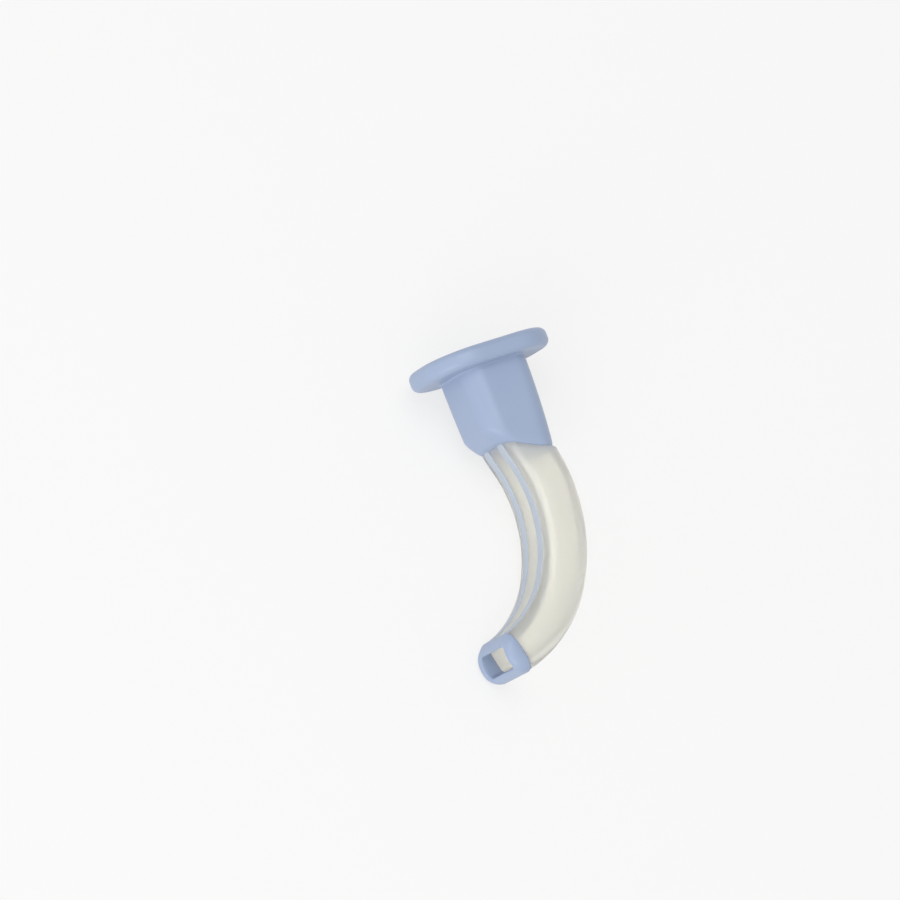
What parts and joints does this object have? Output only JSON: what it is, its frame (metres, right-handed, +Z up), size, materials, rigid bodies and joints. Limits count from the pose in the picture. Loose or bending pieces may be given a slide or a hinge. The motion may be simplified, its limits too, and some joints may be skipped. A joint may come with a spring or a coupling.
{
  "type": "oropharyngeal airway",
  "caption": "Small curved oropharyngeal airway: blue flange, bite block, rails and tip ring with a clear soft tube, open from flange to tip.",
  "frame": {"origin": "centre of the bounding box on the surface that the airway lies on, as it comes to rest on its side", "axes": "+Y towards the flange, -Y towards the tip; -X towards the inside of the bend; +Z up, nearly across the airway"},
  "size_m": [0.0294, 0.0538, 0.0189],
  "materials": {
    "blue_plastic": "satin",
    "clear_elastomer": "smooth, translucent"
  },
  "bodies": {
    "root": {"bite_block_frame": "blue_plastic", "airway_tube": "clear_elastomer"}
  },
  "joints": []
}
